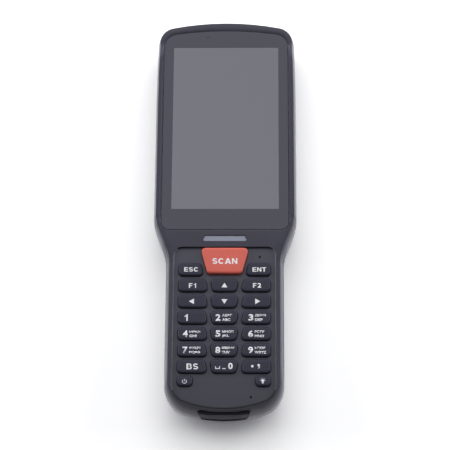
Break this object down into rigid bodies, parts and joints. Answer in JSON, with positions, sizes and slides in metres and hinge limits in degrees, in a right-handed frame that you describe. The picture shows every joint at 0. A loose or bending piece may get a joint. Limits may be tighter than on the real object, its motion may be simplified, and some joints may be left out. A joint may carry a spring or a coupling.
{
  "type": "barcode data terminal",
  "caption": "Keypad handheld for reading barcodes: touch display over a key grip, scan window in its top end, battery cover in its back and a hinged cover over its charging port.",
  "frame": {"origin": "middle of the footprint on the surface that the terminal lies on, under the middle of its length and width", "axes": "+X across it to the user's right, +Y toward the scanner end, +Z out of the display"},
  "size_m": [0.0692, 0.2034, 0.0226],
  "materials": {
    "front_shell": "satin",
    "rear_shell": "fine texture",
    "keypad_panel": "satin",
    "key_dark": "satin",
    "key_orange": "satin",
    "legend_print": "satin",
    "glass": "gloss",
    "display": "gloss",
    "light_guide": "frosted",
    "rubber": "matte",
    "board": "satin",
    "bright_metal": "satin",
    "light_alloy": "satin",
    "gold": "bright",
    "polyimide": "satin",
    "battery_wrap": "satin",
    "window_red": "gloss",
    "dark_part": "satin",
    "clear": "gloss"
  },
  "bodies": {
    "terminal": {"front_housing": "front_shell", "rear_housing": "rear_shell", "housing_seal": "rubber", "housing_screws": "bright_metal", "cover_glass": "glass", "glass_tape": "rubber", "lcd_module": "display", "lcd_bracket": "light_alloy", "indicator_lens": "light_guide", "keypad_bezel": "keypad_panel", "keypad_mat": "rubber", "dome_sheet": "dark_part", "keypad_board": "board", "keypad_flex": "polyimide", "main_board": "board", "shield_cans": "bright_metal", "board_screws": "bright_metal", "backup_cell": "bright_metal", "card_socket": "bright_metal", "battery_pack": "battery_wrap", "battery_contacts": "gold", "scan_engine": "dark_part", "scan_window": "window_red", "camera_module": "dark_part", "camera_window": "glass", "flash_lens": "clear", "speaker": "dark_part", "microphones": "rubber", "vibration_motor": "bright_metal", "antenna": "polyimide", "usb_board": "board", "usb_socket": "bright_metal"},
    "battery_cover": {"battery_cover": "rear_shell"},
    "battery_latch": {"battery_latch": "dark_part"},
    "port_cover": {"port_cover": "rubber"},
    "key_scan": {"key_scan": "key_orange"},
    "key_escape": {"key_escape": "key_dark"},
    "key_enter": {"key_enter": "key_dark"},
    "key_f1": {"key_f1": "key_dark"},
    "key_up": {"key_up": "key_dark"},
    "key_f2": {"key_f2": "key_dark"},
    "key_left": {"key_left": "key_dark"},
    "key_down": {"key_down": "key_dark"},
    "key_right": {"key_right": "key_dark"},
    "key_1": {"key_1": "key_dark"},
    "key_2": {"key_2": "key_dark"},
    "key_3": {"key_3": "key_dark"},
    "key_4": {"key_4": "key_dark"},
    "key_5": {"key_5": "key_dark"},
    "key_6": {"key_6": "key_dark"},
    "key_7": {"key_7": "key_dark"},
    "key_8": {"key_8": "key_dark"},
    "key_9": {"key_9": "key_dark"},
    "key_backspace": {"key_backspace": "key_dark"},
    "key_0": {"key_0": "key_dark"},
    "key_point": {"key_point": "key_dark"},
    "key_power": {"key_power": "key_dark"},
    "key_light": {"key_light": "key_dark"}
  },
  "joints": [
    {"name": "battery_cover_tilt", "type": "hinge", "parent": "terminal", "child": "battery_cover", "pos_m": [0, -0.0791, 0.0012], "axis": [-1, 0, 0], "range_deg": [0, 70]},
    {"name": "battery_latch_slide", "type": "slide", "parent": "battery_cover", "child": "battery_latch", "axis": [0, 1, 0], "range_m": [0, 0.002]},
    {"name": "port_cover_flip", "type": "hinge", "parent": "terminal", "child": "port_cover", "pos_m": [0, -0.09975, 0.011], "axis": [1, 0, 0], "range_deg": [0, 95]},
    {"name": "press_scan", "type": "slide", "parent": "terminal", "child": "key_scan", "axis": [0, 0, -1], "range_m": [0, 0.0006], "stiffness_N_per_m": 800},
    {"name": "press_escape", "type": "slide", "parent": "terminal", "child": "key_escape", "axis": [0, 0, -1], "range_m": [0, 0.0006], "stiffness_N_per_m": 800},
    {"name": "press_enter", "type": "slide", "parent": "terminal", "child": "key_enter", "axis": [0, 0, -1], "range_m": [0, 0.0006], "stiffness_N_per_m": 800},
    {"name": "press_f1", "type": "slide", "parent": "terminal", "child": "key_f1", "axis": [0, 0, -1], "range_m": [0, 0.0006], "stiffness_N_per_m": 800},
    {"name": "press_up", "type": "slide", "parent": "terminal", "child": "key_up", "axis": [0, 0, -1], "range_m": [0, 0.0006], "stiffness_N_per_m": 800},
    {"name": "press_f2", "type": "slide", "parent": "terminal", "child": "key_f2", "axis": [0, 0, -1], "range_m": [0, 0.0006], "stiffness_N_per_m": 800},
    {"name": "press_left", "type": "slide", "parent": "terminal", "child": "key_left", "axis": [0, 0, -1], "range_m": [0, 0.0006], "stiffness_N_per_m": 800},
    {"name": "press_down", "type": "slide", "parent": "terminal", "child": "key_down", "axis": [0, 0, -1], "range_m": [0, 0.0006], "stiffness_N_per_m": 800},
    {"name": "press_right", "type": "slide", "parent": "terminal", "child": "key_right", "axis": [0, 0, -1], "range_m": [0, 0.0006], "stiffness_N_per_m": 800},
    {"name": "press_1", "type": "slide", "parent": "terminal", "child": "key_1", "axis": [0, 0, -1], "range_m": [0, 0.0006], "stiffness_N_per_m": 800},
    {"name": "press_2", "type": "slide", "parent": "terminal", "child": "key_2", "axis": [0, 0, -1], "range_m": [0, 0.0006], "stiffness_N_per_m": 800},
    {"name": "press_3", "type": "slide", "parent": "terminal", "child": "key_3", "axis": [0, 0, -1], "range_m": [0, 0.0006], "stiffness_N_per_m": 800},
    {"name": "press_4", "type": "slide", "parent": "terminal", "child": "key_4", "axis": [0, 0, -1], "range_m": [0, 0.0006], "stiffness_N_per_m": 800},
    {"name": "press_5", "type": "slide", "parent": "terminal", "child": "key_5", "axis": [0, 0, -1], "range_m": [0, 0.0006], "stiffness_N_per_m": 800},
    {"name": "press_6", "type": "slide", "parent": "terminal", "child": "key_6", "axis": [0, 0, -1], "range_m": [0, 0.0006], "stiffness_N_per_m": 800},
    {"name": "press_7", "type": "slide", "parent": "terminal", "child": "key_7", "axis": [0, 0, -1], "range_m": [0, 0.0006], "stiffness_N_per_m": 800},
    {"name": "press_8", "type": "slide", "parent": "terminal", "child": "key_8", "axis": [0, 0, -1], "range_m": [0, 0.0006], "stiffness_N_per_m": 800},
    {"name": "press_9", "type": "slide", "parent": "terminal", "child": "key_9", "axis": [0, 0, -1], "range_m": [0, 0.0006], "stiffness_N_per_m": 800},
    {"name": "press_backspace", "type": "slide", "parent": "terminal", "child": "key_backspace", "axis": [0, 0, -1], "range_m": [0, 0.0006], "stiffness_N_per_m": 800},
    {"name": "press_0", "type": "slide", "parent": "terminal", "child": "key_0", "axis": [0, 0, -1], "range_m": [0, 0.0006], "stiffness_N_per_m": 800},
    {"name": "press_point", "type": "slide", "parent": "terminal", "child": "key_point", "axis": [0, 0, -1], "range_m": [0, 0.0006], "stiffness_N_per_m": 800},
    {"name": "press_power", "type": "slide", "parent": "terminal", "child": "key_power", "axis": [0, 0, -1], "range_m": [0, 0.0006], "stiffness_N_per_m": 800},
    {"name": "press_light", "type": "slide", "parent": "terminal", "child": "key_light", "axis": [0, 0, -1], "range_m": [0, 0.0006], "stiffness_N_per_m": 800}
  ]
}
